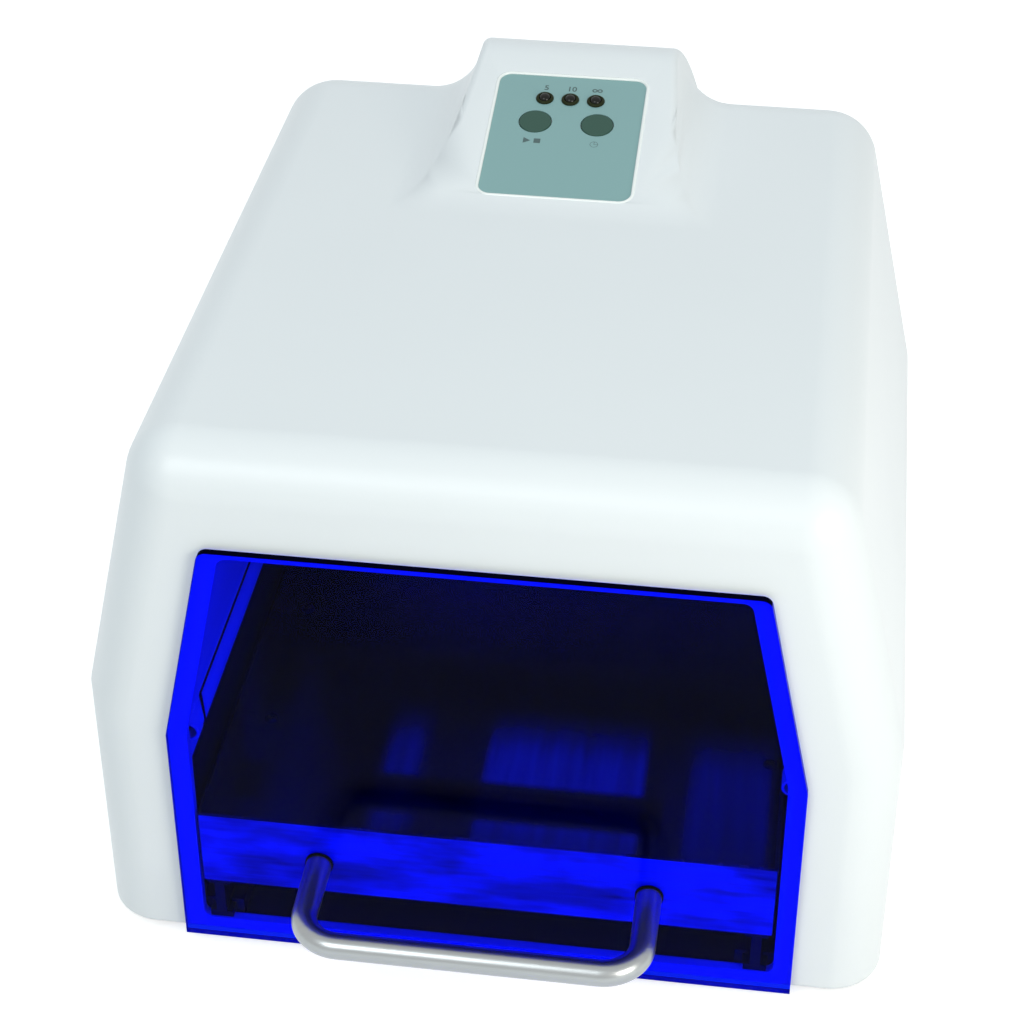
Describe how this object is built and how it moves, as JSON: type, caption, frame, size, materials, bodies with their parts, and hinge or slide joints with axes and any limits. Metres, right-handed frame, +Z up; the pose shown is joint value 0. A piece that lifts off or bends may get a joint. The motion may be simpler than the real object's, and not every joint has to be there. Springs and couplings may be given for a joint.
{
  "type": "dental lab light curing unit",
  "caption": "Bench light-curing unit: moulded white cover with a raised rear control console and a drawer behind a translucent blue front with a bow handle.",
  "frame": {"origin": "middle of the unit's footprint, handle included, on the surface that its rubber feet stand on", "axes": "+Z up, +Y towards the rear panel, the drawer opens towards -Y, +X to the right seen from the front"},
  "size_m": [0.31, 0.3686, 0.2613],
  "materials": {
    "cover_plastic": "satin moulded, off-white",
    "chassis_steel": "fine grey powder coat",
    "screen_steel": "black powder coat",
    "reflector_sheet": "bright rolled sheet",
    "foot_rubber": "matt black",
    "zinc_screw": "zinc plated",
    "slide_liner": "low-friction strip",
    "lamp_glass": "frosted glass tube",
    "lamp_plastic": "heat-proof white moulding",
    "spring_steel": "spring strip",
    "ballast_iron": "varnished core",
    "terminal_plastic": "moulded",
    "board_laminate": "green solder mask",
    "black_plastic": "moulded black",
    "indicator_lens": "dark tinted epoxy",
    "panel_film": "printed film, grey-teal",
    "key_plastic": "dark grey-green",
    "pin_brass": "nickelled",
    "filter_acrylic": "clear blue cast acrylic, polished",
    "stainless_steel": "brushed",
    "handle_steel": "satin polished stainless rod",
    "washer_black": "matt black",
    "runner_aluminium": "extruded, mill finish",
    "magnet_metal": "plated"
  },
  "bodies": {
    "unit": {"ballast_left": "ballast_iron", "ballast_right": "ballast_iron", "base_plate": "chassis_steel", "base_screws": "zinc_screw", "board_screws": "zinc_screw", "bulkhead": "chassis_steel", "bulkhead_screws": "zinc_screw", "control_board": "board_laminate", "cover": "cover_plastic", "foot_screws": "zinc_screw", "indicator_bezels": "black_plastic", "indicator_lens_1": "indicator_lens", "indicator_lens_2": "indicator_lens", "indicator_lens_3": "indicator_lens", "inlet_body": "black_plastic", "inlet_pins": "pin_brass", "inlet_screws": "zinc_screw", "key_switches": "black_plastic", "lamp_1": "lamp_glass", "lamp_2": "lamp_glass", "lamp_3": "lamp_glass", "lamp_4": "lamp_glass", "lamp_cap_1": "lamp_plastic", "lamp_cap_2": "lamp_plastic", "lamp_cap_3": "lamp_plastic", "lamp_cap_4": "lamp_plastic", "lamp_clips": "spring_steel", "lampholder_1": "lamp_plastic", "lampholder_2": "lamp_plastic", "lampholder_3": "lamp_plastic", "lampholder_4": "lamp_plastic", "liner_left": "slide_liner", "liner_right": "slide_liner", "panel_overlay": "panel_film", "rail_left": "chassis_steel", "rail_right": "chassis_steel", "rail_screws": "zinc_screw", "rear_panel": "chassis_steel", "rear_panel_screws": "zinc_screw", "reed_sensor": "black_plastic", "reflector": "reflector_sheet", "reflector_rivets": "zinc_screw", "rubber_feet": "foot_rubber", "side_screen_left": "screen_steel", "side_screen_right": "screen_steel", "side_screen_screws": "zinc_screw", "switch_frame": "black_plastic", "terminal_block": "terminal_plastic"},
    "drawer": {"drawer_front": "filter_acrylic", "drawer_tray": "stainless_steel", "handle": "handle_steel", "handle_washers": "washer_black", "handle_screws": "zinc_screw", "runner_left": "runner_aluminium", "runner_right": "runner_aluminium", "runner_screws": "zinc_screw", "magnet": "magnet_metal"},
    "start_button": {"start_key": "key_plastic"},
    "time_button": {"time_key": "key_plastic"},
    "rocker": {"switch_rocker": "black_plastic"}
  },
  "joints": [
    {"name": "drawer_slide", "type": "slide", "parent": "unit", "child": "drawer", "axis": [0, -1, 0], "range_m": [0, 0.16]},
    {"name": "start_press", "type": "slide", "parent": "unit", "child": "start_button", "axis": [0, 0.2487, -0.9686], "range_m": [0, 0.0004], "stiffness_N_per_m": 1000, "springref_m": -0.0005},
    {"name": "time_press", "type": "slide", "parent": "unit", "child": "time_button", "axis": [0, 0.2487, -0.9686], "range_m": [0, 0.0004], "stiffness_N_per_m": 1000, "springref_m": -0.0005},
    {"name": "rocker_tilt", "type": "hinge", "parent": "unit", "child": "rocker", "pos_m": [-0.028, 0.1764, 0.068], "axis": [1, 0, 0], "range_deg": [-16, 0]}
  ]
}
